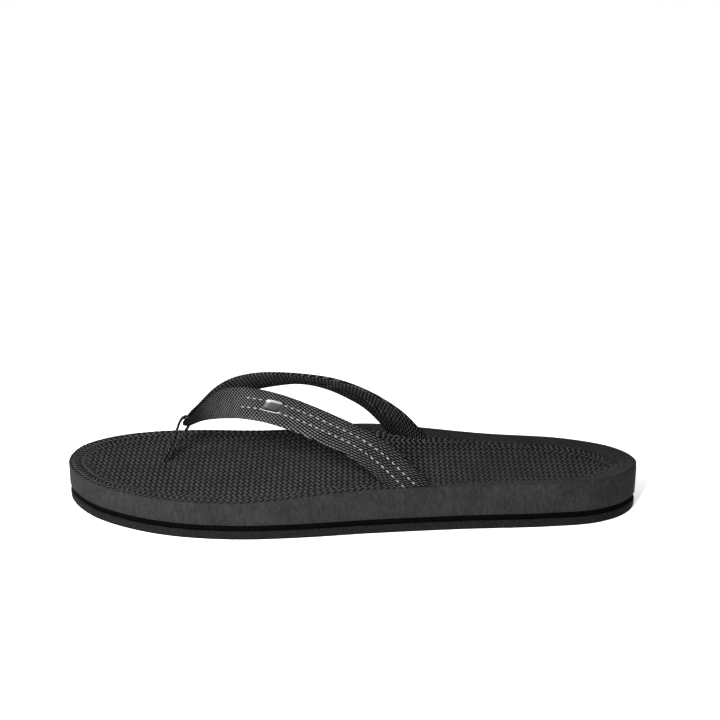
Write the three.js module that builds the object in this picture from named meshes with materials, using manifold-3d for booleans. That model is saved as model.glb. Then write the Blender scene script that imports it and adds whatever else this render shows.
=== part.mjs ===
// A thong sandal (flip flop) for the left foot: a three-layer sole, a folded textile strap and
// the woven toe loop that the strap runs through.
// Millimetres. +X runs from toe to heel, +Y to the inner (medial) side of the foot, +Z up.
// The origin is under the middle of the sole, on the ground.
import * as THREE from "three";
import { mergeVertices } from "three/addons/utils/BufferGeometryUtils.js";
import Module from "manifold-3d";

const wasm = await Module();
wasm.setup();

// ---------- driving dimensions ----------
const CLEARANCE = 0.3; // between pieces that touch

// Sole layers, from the ground up
const OUTSOLE_THICKNESS = 4.1;
const OUTSOLE_CHAMFER = 0.7;
const MIDLAYER_THICKNESS = 2.1;
const MIDLAYER_RECESS = 0.6; // how far the black layer sits behind the side wall
const TOE_HEIGHT = 17.5; // rim height over the whole forefoot
const HEEL_HEIGHT = 21.3; // rim height from the midfoot to the heel
const ARCH_RISE = 3.4; // extra height of the inner rim under the arch
const ARCH_X = 12;
const DISH_FOREFOOT = 0.9; // depth of the footbed inside its rim
const DISH_HEEL = 3.2;
const RIM_WIDTH = 15; // distance over which the rim runs down into the dish
const FLEX_X = -47.5; // the line across the ball of the foot where the sole bends

// Tread grooves
const GROOVE_PITCH = 24;
const GROOVE_FIRST_X = -112;
const GROOVE_COUNT = 10;
const GROOVE_WIDTH = 2.4;
const GROOVE_DEPTH = 1.3;
const GROOVE_WAVE = 3;
const GROOVE_WAVE_LENGTH = 24;
const GROOVE_MARGIN = 6; // plain border round the tread

// Strap: a flattened textile tube over a webbing core
const STRAP_THICKNESS = 2.8;
const NECK_THICKNESS = 2.5; // where it is gathered inside the toe loop
const EDGE_THINNING = 0.2; // share of the thickness that the strap loses at its edges
const COVER_WALL = 0.6;
const CORE_GAP = 0.3; // between the cover's inside and the core
const STRAP_STEPS = 44; // lengthwise facets
const SLOT_LENGTH = 20; // of the slots that the strap ends go down
const TAIL_THICKNESS = 2.4;
const TAIL_FLAP_WIDTH = 13; // of each strap end, folded flat under the footbed
const FLAP_THICKNESS = 1.7;
const LATERAL_SLOT = { x: 26, y: -35.3, turn: 0.03, inward: 1 };
const MEDIAL_SLOT = { x: 26.2, y: 28.6, turn: -0.31, inward: -1 };

// Toe loop: a doubled tape that opens into an eye round the strap
const LOOP_BASE = new THREE.Vector3(-87, 6.5, TOE_HEIGHT - DISH_FOREFOOT);
const LOOP_LEAN = 0.49; // radians back from upright
const LOOP_TAPE_WIDTH = 5;
const LOOP_POST_THICKNESS = 2.6;
const LOOP_EYE_HALF = 2.35; // half the width of the eye
const LOOP_TAPE = 1.0; // tape thickness round the eye
const LOOP_EYE_LOW = 19.2;
const LOOP_EYE_HIGH = 30.3;
const LOOP_FLAP_LENGTH = 22;

const BADGE = { length: 9.5, width: 7, thickness: 0.9, corner: 1.2, station: 7 };

// Outline of the sole seen from above: toe tip, down the outer side, round the heel, up the arch.
const OUTLINE = [
  [-132.5, 9],
  [-129.5, -4.5],
  [-118.5, -22],
  [-100.5, -36],
  [-79, -45],
  [-52, -48.7],
  [-25, -46.9],
  [10, -41.4],
  [50, -36.7],
  [90, -33.6],
  [112, -29.2],
  [126, -19.4],
  [132.4, -6],
  [130, 4.5],
  [119, 15.5],
  [98, 25],
  [70, 29.6],
  [40, 34.2],
  [8, 37.5],
  [-25, 42.6],
  [-60, 47.8],
  [-92, 46.6],
  [-114, 39.2],
  [-128, 26.5],
];

// The strap's two edges at matching stations, from the outer slot over the foot to the inner slot:
// [ankle-side edge, toe-side edge]. Both ends start inside the footbed.
const STRAP_STATIONS = [
  [[39.5, -35.4, 16.5], [27.5, -36.3, 8]],
  [[34.6, -34.8, 23.2], [20.5, -36.1, 16.5]],
  [[27.6, -33.8, 30.2], [12.4, -36.5, 24.6]],
  [[19.5, -31.4, 37.5], [5.6, -37, 30.6]],
  [[8, -28.8, 44.6], [-4, -37.1, 37.4]],
  [[-5, -25.6, 50], [-14.6, -35.9, 42]],
  [[-17.5, -20.1, 53.7], [-25, -31.6, 45.3]],
  [[-31.2, -13.5, 56.7], [-38.1, -24.1, 47]],
  [[-44, -7.8, 57.9], [-49.3, -16.6, 46.2]],
  [[-54.5, -2.2, 56.7], [-56, -8.5, 43.4]],
  [[-62, 2, 53.2], [-62.5, -2.5, 41]],
  [[-68, 2.4, 48], [-68.6, 0, 39.4]],
  [[-72.2, 2.2, 43.6], [-73.4, 1.4, 38]],
  [[-74.4, 6.5, 41.5], [-76.2, 6.5, 37.3]],
  [[-72.2, 10.8, 43.6], [-73.4, 11.6, 38]],
  [[-68, 9.4, 48], [-68.6, 12.6, 39.4]],
  [[-62, 8.2, 53.8], [-62.5, 14.5, 41.5]],
  [[-54.5, 9.6, 57.4], [-55.5, 17.8, 44.5]],
  [[-44, 12.2, 58.8], [-46.5, 22, 46.3]],
  [[-32, 14.9, 58], [-36.4, 25.9, 47.2]],
  [[-18.5, 18.5, 55.4], [-24.6, 30.6, 46.9]],
  [[-6, 20.9, 52.2], [-13, 33.1, 43.9]],
  [[6, 21.4, 47.4], [-2.5, 33.3, 39.3]],
  [[16, 21.1, 42], [6.5, 31.9, 34.2]],
  [[25.5, 21.8, 34.8], [14, 29.9, 27.2]],
  [[32.5, 24.6, 26.3], [18.6, 30.6, 20.5]],
  [[38, 26.3, 18.5], [24.5, 31.5, 12]],
];

// ---------- materials ----------
const foam = { color: 0x46464a, roughness: 0.85, metalness: 0 };
const darkFoam = { color: 0x0e0e0f, roughness: 0.9, metalness: 0 };
const rubber = { color: 0x242426, roughness: 0.95, metalness: 0 };
const textile = { color: 0x4c4c4f, roughness: 0.9, metalness: 0 };
const webbing = { color: 0x1b1b1d, roughness: 0.9, metalness: 0 };
const satinMetal = { color: 0x9a9a9c, roughness: 0.35, metalness: 1 };

// ---------- solids ----------
function toSolid(geometry) {
  const bare = geometry.clone();
  bare.deleteAttribute("normal");
  bare.deleteAttribute("uv");
  const merged = mergeVertices(bare, 1e-4);
  const vertProperties = new Float32Array(merged.attributes.position.array);
  const triVerts = new Uint32Array(merged.index.array);
  return new wasm.Manifold(new wasm.Mesh({ numProp: 3, vertProperties, triVerts }));
}

function toMesh(name, solid, look) {
  const { vertProperties, triVerts, numProp } = solid.getMesh();
  const geometry = new THREE.BufferGeometry();
  const count = vertProperties.length / numProp;
  const position = new THREE.BufferAttribute(new Float32Array(count * 3), 3);
  for (let i = 0; i < count; i += 1) {
    const at = i * numProp;
    position.setXYZ(i, vertProperties[at], vertProperties[at + 1], vertProperties[at + 2]);
  }
  geometry.setAttribute("position", position);
  geometry.setIndex(new THREE.BufferAttribute(triVerts, 1));
  geometry.computeVertexNormals();
  const mesh = new THREE.Mesh(geometry, new THREE.MeshStandardMaterial(look));
  mesh.name = name;
  return mesh;
}

function box(lengthX, widthY, heightZ, x, y, z, turn = 0) {
  const geometry = new THREE.BoxGeometry(lengthX, widthY, heightZ);
  geometry.rotateZ(turn);
  geometry.translate(x, y, z);
  return toSolid(geometry);
}

// ---------- sole outline and footbed surface ----------
function smoothstep(low, high, value) {
  return THREE.MathUtils.smoothstep(value, low, high);
}

function soleOutline() {
  const corners = OUTLINE.map(([x, y]) => new THREE.Vector3(x, y, 0));
  const curve = new THREE.CatmullRomCurve3(corners, true, "centripetal");
  const points = curve.getPoints(OUTLINE.length * 4).slice(0, -1);
  const bounds = new THREE.Box3().setFromPoints(points);
  const middle = bounds.getCenter(new THREE.Vector3());
  return points.map((p) => new THREE.Vector2(p.x - middle.x, p.y - middle.y));
}

const outline = soleOutline();

function insideOutline(x, y) {
  let inside = false;
  outline.forEach((a, i) => {
    const b = outline[(i + 1) % outline.length];
    const crosses = a.y > y !== b.y > y;
    if (crosses && x < ((b.x - a.x) * (y - a.y)) / (b.y - a.y) + a.x) inside = !inside;
  });
  return inside;
}

function edgeDistance(x, y) {
  if (!insideOutline(x, y)) return 0;
  return Math.min(...outline.map((p) => Math.hypot(p.x - x, p.y - y)));
}

// Height of the footbed's top: a rim that rises from forefoot to heel and once more under the
// arch, with a shallow dish inside it that deepens into the heel cup.
function footbedTop(x, y) {
  const rise = smoothstep(-58, 8, x);
  const rim = TOE_HEIGHT + (HEEL_HEIGHT - TOE_HEIGHT) * rise;
  const archLength = Math.exp(-(((x - ARCH_X) / 30) ** 2));
  const arch = ARCH_RISE * archLength * smoothstep(12, 37, y);
  const dish = DISH_FOREFOOT + (DISH_HEEL - DISH_FOREFOOT) * smoothstep(-40, 70, x);
  return rim + arch - dish * smoothstep(0, RIM_WIDTH, edgeDistance(x, y));
}

// Everything under the footbed's top surface, as one block raised by lift
function blockUnderTop(lift = 0) {
  const floor = -20;
  const geometry = new THREE.BoxGeometry(280, 112, 1, 50, 20, 1);
  const position = geometry.attributes.position;
  for (let i = 0; i < position.count; i += 1) {
    const top = footbedTop(position.getX(i), position.getY(i)) + lift;
    position.setZ(i, position.getZ(i) > 0 ? top : floor);
  }
  return toSolid(geometry);
}

function outlineSlab(bottom, top, inset = 0, chamfer = 0) {
  const shape = new THREE.Shape(
    outline.map((p) => new THREE.Vector2(p.x * (1 - inset / 132.5), p.y * (1 - inset / 48.5))),
  );
  const geometry = new THREE.ExtrudeGeometry(shape, {
    depth: top - bottom - 2 * chamfer,
    bevelEnabled: chamfer > 0,
    bevelThickness: chamfer,
    bevelSize: chamfer,
    bevelOffset: -chamfer,
    bevelSegments: 1,
  });
  geometry.translate(0, 0, bottom + chamfer);
  return toSolid(geometry);
}

// ---------- the three layers of the sole ----------
const midlayerBottom = OUTSOLE_THICKNESS + CLEARANCE;
const midlayerTop = midlayerBottom + MIDLAYER_THICKNESS;
const footbedBottom = midlayerTop + CLEARANCE;

function grooveTool(x) {
  const ends = 60;
  const near = [];
  const far = [];
  for (let y = -ends; y <= ends; y += GROOVE_WAVE_LENGTH / 2) {
    const side = Math.round((y + ends) / (GROOVE_WAVE_LENGTH / 2)) % 2 ? 1 : -1;
    near.push(new THREE.Vector2(x + side * GROOVE_WAVE - GROOVE_WIDTH / 2, y));
    far.unshift(new THREE.Vector2(x + side * GROOVE_WAVE + GROOVE_WIDTH / 2, y));
  }
  const shape = new THREE.Shape([...near, ...far]);
  const geometry = new THREE.ExtrudeGeometry(shape, { depth: 10, bevelEnabled: false });
  geometry.translate(0, 0, -5);
  return toSolid(geometry);
}

function outsole() {
  let solid = outlineSlab(0, OUTSOLE_THICKNESS, 0, OUTSOLE_CHAMFER);
  const field = outlineSlab(-10, GROOVE_DEPTH, GROOVE_MARGIN);
  for (let i = 0; i < GROOVE_COUNT; i += 1) {
    solid = solid.subtract(grooveTool(GROOVE_FIRST_X + i * GROOVE_PITCH).intersect(field));
  }
  return solid;
}

function slotThroughFootbed({ x, y, turn, inward }) {
  const slot = box(SLOT_LENGTH + 1.2, TAIL_THICKNESS + 1, 60, x, y, 30, turn);
  const offset = (inward * (TAIL_FLAP_WIDTH - TAIL_THICKNESS)) / 2;
  const recess = box(
    SLOT_LENGTH + 1.2,
    TAIL_FLAP_WIDTH + 1,
    2 * (FLAP_THICKNESS + CLEARANCE),
    x - offset * Math.sin(turn),
    y + offset * Math.cos(turn),
    footbedBottom,
    turn,
  );
  return slot.add(recess);
}

function toeSlot() {
  const { x, y } = LOOP_BASE;
  const slot = box(LOOP_POST_THICKNESS + 1, LOOP_TAPE_WIDTH + 1, 60, x, y, 30);
  const height = 2 * (FLAP_THICKNESS + CLEARANCE);
  const recess = box(LOOP_FLAP_LENGTH + 1, LOOP_TAPE_WIDTH + 1, height, x, y, footbedBottom);
  return slot.add(recess);
}

function footbed() {
  const solid = outlineSlab(footbedBottom, 40).intersect(blockUnderTop());
  return [slotThroughFootbed(LATERAL_SLOT), slotThroughFootbed(MEDIAL_SLOT), toeSlot()].reduce(
    (left, slot) => left.subtract(slot),
    solid,
  );
}

// Cuts a layer at the flex line into the part in front of it and the part behind it
function splitAtFlexLine(solid) {
  const reach = 200;
  const gap = CLEARANCE / 2;
  const front = solid.intersect(box(reach, reach, reach, FLEX_X - gap - reach / 2, 0, 0));
  const rear = solid.intersect(box(reach, reach, reach, FLEX_X + gap + reach / 2, 0, 0));
  return { front, rear };
}

function soleLayer(name, solid, look) {
  const halves = splitAtFlexLine(solid);
  return [toMesh(`${name}_front`, halves.front, look), toMesh(`${name}_rear`, halves.rear, look)];
}

// ---------- strap ----------
function edgeCurve(side) {
  const points = STRAP_STATIONS.map((station) => new THREE.Vector3(...station[side]));
  return new THREE.CatmullRomCurve3(points, false, "centripetal");
}

const ankleEdge = edgeCurve(0);
const toeEdge = edgeCurve(1);

// Middle, lengthwise, crosswise and normal directions of the strap at share t of its stations
function strapFrame(t) {
  const step = 1e-3;
  const middleAt = (u) => ankleEdge.getPoint(u).add(toeEdge.getPoint(u)).multiplyScalar(0.5);
  const along = middleAt(Math.min(1, t + step)).sub(middleAt(Math.max(0, t - step))).normalize();
  const across = ankleEdge.getPoint(t).sub(toeEdge.getPoint(t));
  const width = across.length();
  across.normalize();
  const normal = new THREE.Vector3().crossVectors(along, across).normalize();
  return { middle: middleAt(t), along, across, normal, width };
}

// A band along the strap, thinner towards its edges, smaller all round by shrink
function strapBand(shrink) {
  const geometry = new THREE.BoxGeometry(1, 1, 1, STRAP_STEPS, 2, 1);
  const position = geometry.attributes.position;
  const neck = Math.floor(STRAP_STATIONS.length / 2) / (STRAP_STATIONS.length - 1);
  for (let i = 0; i < position.count; i += 1) {
    const t = position.getX(i) + 0.5;
    const frame = strapFrame(t);
    const nearNeck = 1 - smoothstep(0.03, 0.1, Math.abs(t - neck));
    const full = STRAP_THICKNESS + (NECK_THICKNESS - STRAP_THICKNESS) * nearNeck;
    const side = position.getY(i) * 2;
    const thickness = full * (1 - EDGE_THINNING * Math.abs(side)) - 2 * shrink;
    const point = frame.middle;
    point.addScaledVector(frame.across, side * (frame.width / 2 - shrink));
    point.addScaledVector(frame.normal, position.getZ(i) * thickness);
    position.setXYZ(i, point.x, point.y, point.z);
  }
  return toSolid(geometry);
}

function strapCover(ground) {
  return strapBand(0).subtract(strapBand(COVER_WALL)).subtract(ground);
}

function strapCore(ground) {
  return strapBand(COVER_WALL + CORE_GAP).subtract(ground);
}

// A strap end: a leg down its slot and a flap folded flat under the footbed
function strapTail({ x, y, turn, inward }) {
  const top = footbedTop(x, y) - 1.5;
  const bottom = footbedBottom;
  const leg = box(SLOT_LENGTH, TAIL_THICKNESS, top - bottom, x, y, (top + bottom) / 2, turn);
  const offset = (inward * (TAIL_FLAP_WIDTH - TAIL_THICKNESS)) / 2;
  const flap = box(
    SLOT_LENGTH,
    TAIL_FLAP_WIDTH,
    FLAP_THICKNESS,
    x - offset * Math.sin(turn),
    y + offset * Math.cos(turn),
    bottom + FLAP_THICKNESS / 2,
    turn,
  );
  return leg.add(flap);
}

function badge() {
  const { length, width, thickness, corner } = BADGE;
  const shape = new THREE.Shape();
  const [x, y] = [length / 2, width / 2];
  shape.moveTo(-x + corner, -y);
  shape.lineTo(x - corner, -y);
  shape.absarc(x - corner, -y + corner, corner, -Math.PI / 2, 0);
  shape.absarc(x - corner, y - corner, corner, 0, Math.PI / 2);
  shape.absarc(-x + corner, y - corner, corner, Math.PI / 2, Math.PI);
  shape.absarc(-x + corner, -y + corner, corner, Math.PI, 1.5 * Math.PI);
  const options = { depth: thickness, bevelEnabled: false, curveSegments: 4 };
  const geometry = new THREE.ExtrudeGeometry(shape, options);
  const mesh = toMesh("badge", toSolid(geometry), satinMetal);
  const frame = strapFrame(BADGE.station / (STRAP_STATIONS.length - 1));
  const outward = frame.normal.clone().negate();
  const lengthwise = new THREE.Vector3().crossVectors(frame.across, outward);
  const turn = new THREE.Matrix4().makeBasis(lengthwise, frame.across, outward);
  mesh.quaternion.setFromRotationMatrix(turn);
  mesh.position.copy(frame.middle).addScaledVector(outward, STRAP_THICKNESS / 2 + CLEARANCE);
  return mesh;
}

// ---------- toe loop ----------
// Side view of the loop along its own axis: a straight post that swells into an eye
function toeLoop() {
  const post = LOOP_POST_THICKNESS / 2;
  const wide = LOOP_EYE_HALF + LOOP_TAPE;
  const roundAt = LOOP_EYE_HIGH - LOOP_EYE_HALF;
  const shape = new THREE.Shape();
  shape.moveTo(-post, 0);
  shape.lineTo(post, 0);
  shape.lineTo(post, LOOP_EYE_LOW - 4);
  shape.bezierCurveTo(post, LOOP_EYE_LOW - 1, wide, LOOP_EYE_LOW, wide, LOOP_EYE_LOW + 4);
  shape.absarc(0, roundAt, wide, 0, Math.PI);
  shape.lineTo(-wide, LOOP_EYE_LOW + 4);
  shape.bezierCurveTo(-wide, LOOP_EYE_LOW, -post, LOOP_EYE_LOW - 1, -post, LOOP_EYE_LOW - 4);
  const eye = new THREE.Path();
  eye.absarc(0, roundAt, LOOP_EYE_HALF, 0, Math.PI);
  eye.lineTo(-LOOP_EYE_HALF, LOOP_EYE_LOW + 2.6);
  eye.quadraticCurveTo(-LOOP_EYE_HALF, LOOP_EYE_LOW + 1.2, 0, LOOP_EYE_LOW);
  eye.quadraticCurveTo(LOOP_EYE_HALF, LOOP_EYE_LOW + 1.2, LOOP_EYE_HALF, LOOP_EYE_LOW + 2.6);
  shape.holes.push(eye);
  const options = { depth: LOOP_TAPE_WIDTH, bevelEnabled: false, curveSegments: 6 };
  const geometry = new THREE.ExtrudeGeometry(shape, options);
  geometry.translate(0, 0, -LOOP_TAPE_WIDTH / 2);
  geometry.rotateX(Math.PI / 2);
  geometry.rotateY(LOOP_LEAN);
  geometry.translate(LOOP_BASE.x, LOOP_BASE.y, LOOP_BASE.z);
  return toSolid(geometry);
}

// The tape's two ends, below the surface: a doubled leg and flaps folded forwards and backwards
function toeLoopTail() {
  const { x, y, z } = LOOP_BASE;
  const top = z - 0.8;
  const bottom = footbedBottom;
  const middle = (top + bottom) / 2;
  const leg = box(LOOP_POST_THICKNESS, LOOP_TAPE_WIDTH, top - bottom, x, y, middle);
  const flapMiddle = bottom + FLAP_THICKNESS / 2;
  return leg.add(box(LOOP_FLAP_LENGTH, LOOP_TAPE_WIDTH, FLAP_THICKNESS, x, y, flapMiddle));
}

// ---------- assembly ----------
const ground = blockUnderTop(CLEARANCE);
const midlayer = outlineSlab(midlayerBottom, midlayerTop, MIDLAYER_RECESS);

const sole = new THREE.Group();
sole.add(...soleLayer("footbed", footbed(), foam));
sole.add(...soleLayer("midlayer", midlayer, darkFoam));
sole.add(...soleLayer("outsole", outsole(), rubber));

const strap = new THREE.Group();
strap.add(toMesh("strap_cover", strapCover(ground), textile));
strap.add(toMesh("strap_core", strapCore(ground), webbing));
strap.add(toMesh("strap_tail_lateral", strapTail(LATERAL_SLOT), textile));
strap.add(toMesh("strap_tail_medial", strapTail(MEDIAL_SLOT), textile));
strap.add(badge());

const toePost = new THREE.Group();
toePost.add(toMesh("toe_loop", toeLoop().subtract(ground), webbing));
toePost.add(toMesh("toe_loop_tail", toeLoopTail(), webbing));

const flipFlop = new THREE.Group();
flipFlop.add(sole, strap, toePost);

export default flipFlop;
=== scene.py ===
import math

import bpy
import numpy as np
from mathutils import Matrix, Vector
from mathutils.kdtree import KDTree


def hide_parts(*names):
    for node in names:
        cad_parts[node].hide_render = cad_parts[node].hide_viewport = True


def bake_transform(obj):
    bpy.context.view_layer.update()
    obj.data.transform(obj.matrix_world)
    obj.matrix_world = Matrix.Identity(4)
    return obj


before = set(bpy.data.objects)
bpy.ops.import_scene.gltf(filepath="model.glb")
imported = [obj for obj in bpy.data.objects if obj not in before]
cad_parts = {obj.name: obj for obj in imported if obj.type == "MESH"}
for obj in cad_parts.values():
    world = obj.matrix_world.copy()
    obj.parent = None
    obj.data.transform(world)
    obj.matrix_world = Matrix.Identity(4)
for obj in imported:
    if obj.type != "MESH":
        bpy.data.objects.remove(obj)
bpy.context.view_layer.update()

# Left-foot flip flop. Shapes are in millimetres in the row frame and become metres where a mesh is
# made; materials, blends, lights and the camera are in metres. +X runs from toe to heel, +Y to the
# inner side of the foot, +Z up.
MM = 0.001
rng = np.random.default_rng(7)

# ---------- driving dimensions, as in the CAD ----------
OUTSOLE_TOP = 4.1
MIDLAYER = (4.4, 6.5)
FOOTBED_BOTTOM = 6.8
TOE_HEIGHT = 17.5
HEEL_HEIGHT = 21.3
ARCH_RISE = 3.4
ARCH_X = 12
DISH_FOREFOOT = 0.9
DISH_HEEL = 3.2
RIM_WIDTH = 15

# Only in Blender
END_TAPER = 0.008  # share by which toe and heel lean in at the ground

OUTLINE = [
    (-132.5, 9), (-129.5, -4.5), (-118.5, -22), (-100.5, -36), (-79, -45), (-52, -48.7),
    (-25, -46.9), (10, -41.4), (50, -36.7), (90, -33.6), (112, -29.2), (126, -19.4),
    (132.4, -6), (130, 4.5), (119, 15.5), (98, 25), (70, 29.6), (40, 34.2), (8, 37.5),
    (-25, 42.6), (-60, 47.8), (-92, 46.6), (-114, 39.2), (-128, 26.5),
]

# Matching stations of the strap's ankle-side and toe-side edges, outer slot to inner slot
STRAP_STATIONS = [
    ((39.5, -35.4, 16.5), (27.5, -36.3, 8)),
    ((34.6, -34.8, 23.2), (20.5, -36.1, 16.5)),
    ((27.6, -33.8, 30.2), (12.4, -36.5, 24.6)),
    ((19.5, -31.4, 37.5), (5.6, -37, 30.6)),
    ((8, -28.8, 44.6), (-4, -37.1, 37.4)),
    ((-5, -25.6, 50), (-14.6, -35.9, 42)),
    ((-17.5, -20.1, 53.7), (-25, -31.6, 45.3)),
    ((-31.2, -13.5, 56.7), (-38.1, -24.1, 47)),
    ((-44, -7.8, 57.9), (-49.3, -16.6, 46.2)),
    ((-54.5, -2.2, 56.7), (-56, -8.5, 43.4)),
    ((-62, 2, 53.2), (-62.5, -2.5, 41)),
    ((-68, 2.4, 48), (-68.6, 0, 39.4)),
    ((-72.2, 2.2, 43.6), (-73.4, 1.4, 38)),
    ((-74.4, 6.5, 41.5), (-76.2, 6.5, 37.3)),
    ((-72.2, 10.8, 43.6), (-73.4, 11.6, 38)),
    ((-68, 9.4, 48), (-68.6, 12.6, 39.4)),
    ((-62, 8.2, 53.8), (-62.5, 14.5, 41.5)),
    ((-54.5, 9.6, 57.4), (-55.5, 17.8, 44.5)),
    ((-44, 12.2, 58.8), (-46.5, 22, 46.3)),
    ((-32, 14.9, 58), (-36.4, 25.9, 47.2)),
    ((-18.5, 18.5, 55.4), (-24.6, 30.6, 46.9)),
    ((-6, 20.9, 52.2), (-13, 33.1, 43.9)),
    ((6, 21.4, 47.4), (-2.5, 33.3, 39.3)),
    ((16, 21.1, 42), (6.5, 31.9, 34.2)),
    ((25.5, 21.8, 34.8), (14, 29.9, 27.2)),
    ((32.5, 24.6, 26.3), (18.6, 30.6, 20.5)),
    ((38, 26.3, 18.5), (24.5, 31.5, 12)),
]
STRAP_THICKNESS = 2.8
NECK = 13  # the station inside the toe loop
BADGE_STATION = 7

LOOP_BASE = np.array([-87, 6.5, 16.6])
LOOP_LEAN = 0.49
LOOP_TURN = 0.1  # how far the tape's flat side turns towards the heel, in radians


# ---------- curves ----------
def smoothstep(low, high, value):
    t = np.clip((np.asarray(value, float) - low) / (high - low), 0, 1)
    return t * t * (3 - 2 * t)


def catmull_rom(points, t, closed=False):
    """Centripetal Catmull-Rom curve through points, at shares t of its length in points."""
    p = np.asarray(points, float)
    n = len(p)
    if closed:
        p = np.vstack([p[-1], p, p[0], p[1]])
        at = np.asarray(t, float) % 1.0 * n
    else:
        p = np.vstack([2 * p[0] - p[1], p, 2 * p[-1] - p[-2]])
        at = np.clip(np.asarray(t, float), 0, 1) * (n - 1)
    last = n - 1 if closed else n - 2
    i = np.minimum(at.astype(int), last)
    w = (at - i)[:, None]
    p0, p1, p2, p3 = p[i], p[i + 1], p[i + 2], p[i + 3]
    gap = lambda a, b: np.sqrt(np.linalg.norm(b - a, axis=1))[:, None]
    d0, d1, d2 = gap(p0, p1), gap(p1, p2), gap(p2, p3)
    m1 = ((p1 - p0) / d0 - (p2 - p0) / (d0 + d1) + (p2 - p1) / d1) * d1
    m2 = ((p2 - p1) / d1 - (p3 - p1) / (d1 + d2) + (p3 - p2) / d2) * d1
    c2 = 3 * (p2 - p1) - 2 * m1 - m2
    c3 = 2 * (p1 - p2) + m1 + m2
    return p1 + m1 * w + c2 * w**2 + c3 * w**3


def unit(v):
    return v / np.linalg.norm(v, axis=-1, keepdims=True)


# ---------- meshes ----------
def make_mesh(name, vertices, faces, maps=None, lap=None):
    """An object from vertices in millimetres, all smooth.

    maps gives a (u, v) in metres for each vertex, by the map's name. Where a map's u starts again
    after lap, the faces across that seam carry on past lap instead."""
    mesh = bpy.data.meshes.new(name)
    mesh.from_pydata((np.asarray(vertices) * MM).tolist(), [], [list(f) for f in faces])
    corner = np.empty(len(mesh.loops), np.int64)
    mesh.loops.foreach_get("vertex_index", corner)
    for map_name, values in (maps or {}).items():
        uv = np.asarray(values, float)[corner]
        if lap:
            starts = np.empty(len(mesh.polygons), np.int64)
            totals = np.empty(len(mesh.polygons), np.int64)
            mesh.polygons.foreach_get("loop_start", starts)
            mesh.polygons.foreach_get("loop_total", totals)
            high = np.repeat(np.maximum.reduceat(uv[:, 0], starts), totals)
            uv[high - uv[:, 0] > lap / 2, 0] += lap
        mesh.uv_layers.new(name=map_name).data.foreach_set("uv", uv.astype(np.float32).ravel())
    mesh.polygons.foreach_set("use_smooth", [True] * len(mesh.polygons))
    mesh.update()
    piece = bpy.data.objects.new(name, mesh)
    bpy.context.scene.collection.objects.link(piece)
    place = mesh.attributes.new("rest_place", "FLOAT_VECTOR", "POINT")
    place.data.foreach_set("vector", rest_places(piece).astype(np.float32).ravel())
    return piece


def rest_places(piece):
    places = np.empty(len(piece.data.vertices) * 3)
    piece.data.vertices.foreach_get("co", places)
    return places.reshape(-1, 3)


def grid_faces(rows, columns, start=0, wrap=False, flip=False):
    """Quads of a rows x columns grid of vertices; wrap joins the last column to the first."""
    r = np.arange(rows - 1)[:, None]
    c = np.arange(columns if wrap else columns - 1)[None, :]
    nxt = (c + 1) % columns
    quad = [r * columns + c, r * columns + nxt, (r + 1) * columns + nxt, (r + 1) * columns + c]
    faces = np.stack(np.broadcast_arrays(*quad), -1).reshape(-1, 4) + start
    return faces[:, ::-1] if flip else faces


# ---------- the sole's outline ----------
OUTLINE_CURVE_STEPS = 9600  # along the curve, before it is cut into equal lengths
OUTLINE_SAMPLES = 2400


def sole_outline():
    flat = [(x, y, 0) for x, y in OUTLINE]
    share = np.arange(OUTLINE_CURVE_STEPS) / OUTLINE_CURVE_STEPS
    dense = catmull_rom(flat, share, closed=True)[:, :2]
    dense -= (dense.min(0) + dense.max(0)) / 2
    step = np.linalg.norm(np.roll(dense, -1, 0) - dense, axis=1)
    along = np.concatenate([[0], np.cumsum(step)])
    ring = np.vstack([dense, dense[:1]])
    wanted = np.linspace(0, along[-1], OUTLINE_SAMPLES, endpoint=False)
    points = np.stack([np.interp(wanted, along, ring[:, k]) for k in (0, 1)], 1)
    return points, along[-1]


outline, outline_length = sole_outline()
outline_tangent = unit(np.roll(outline, -1, 0) - np.roll(outline, 1, 0))
# The outline runs down the outer side and back up the inner one, so its outside is on its right
outline_normal = np.stack([outline_tangent[:, 1], -outline_tangent[:, 0]], 1)

edge_tree = KDTree(OUTLINE_SAMPLES)
for index, (x, y) in enumerate(outline):
    edge_tree.insert((x, y, 0), index)
edge_tree.balance()


def edge_coordinates(xy):
    """(distance inside the outline, length along it) of each point."""
    nearest = np.array([edge_tree.find((x, y, 0))[1] for x, y in xy])
    offset = xy - outline[nearest]
    inside = -np.sum(offset * outline_normal[nearest], 1)
    slide = np.sum(offset * outline_tangent[nearest], 1)
    return inside, nearest * outline_length / OUTLINE_SAMPLES + slide


def outline_index(x, y):
    return int(np.argmin(np.hypot(outline[:, 0] - x, outline[:, 1] - y)))


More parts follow.
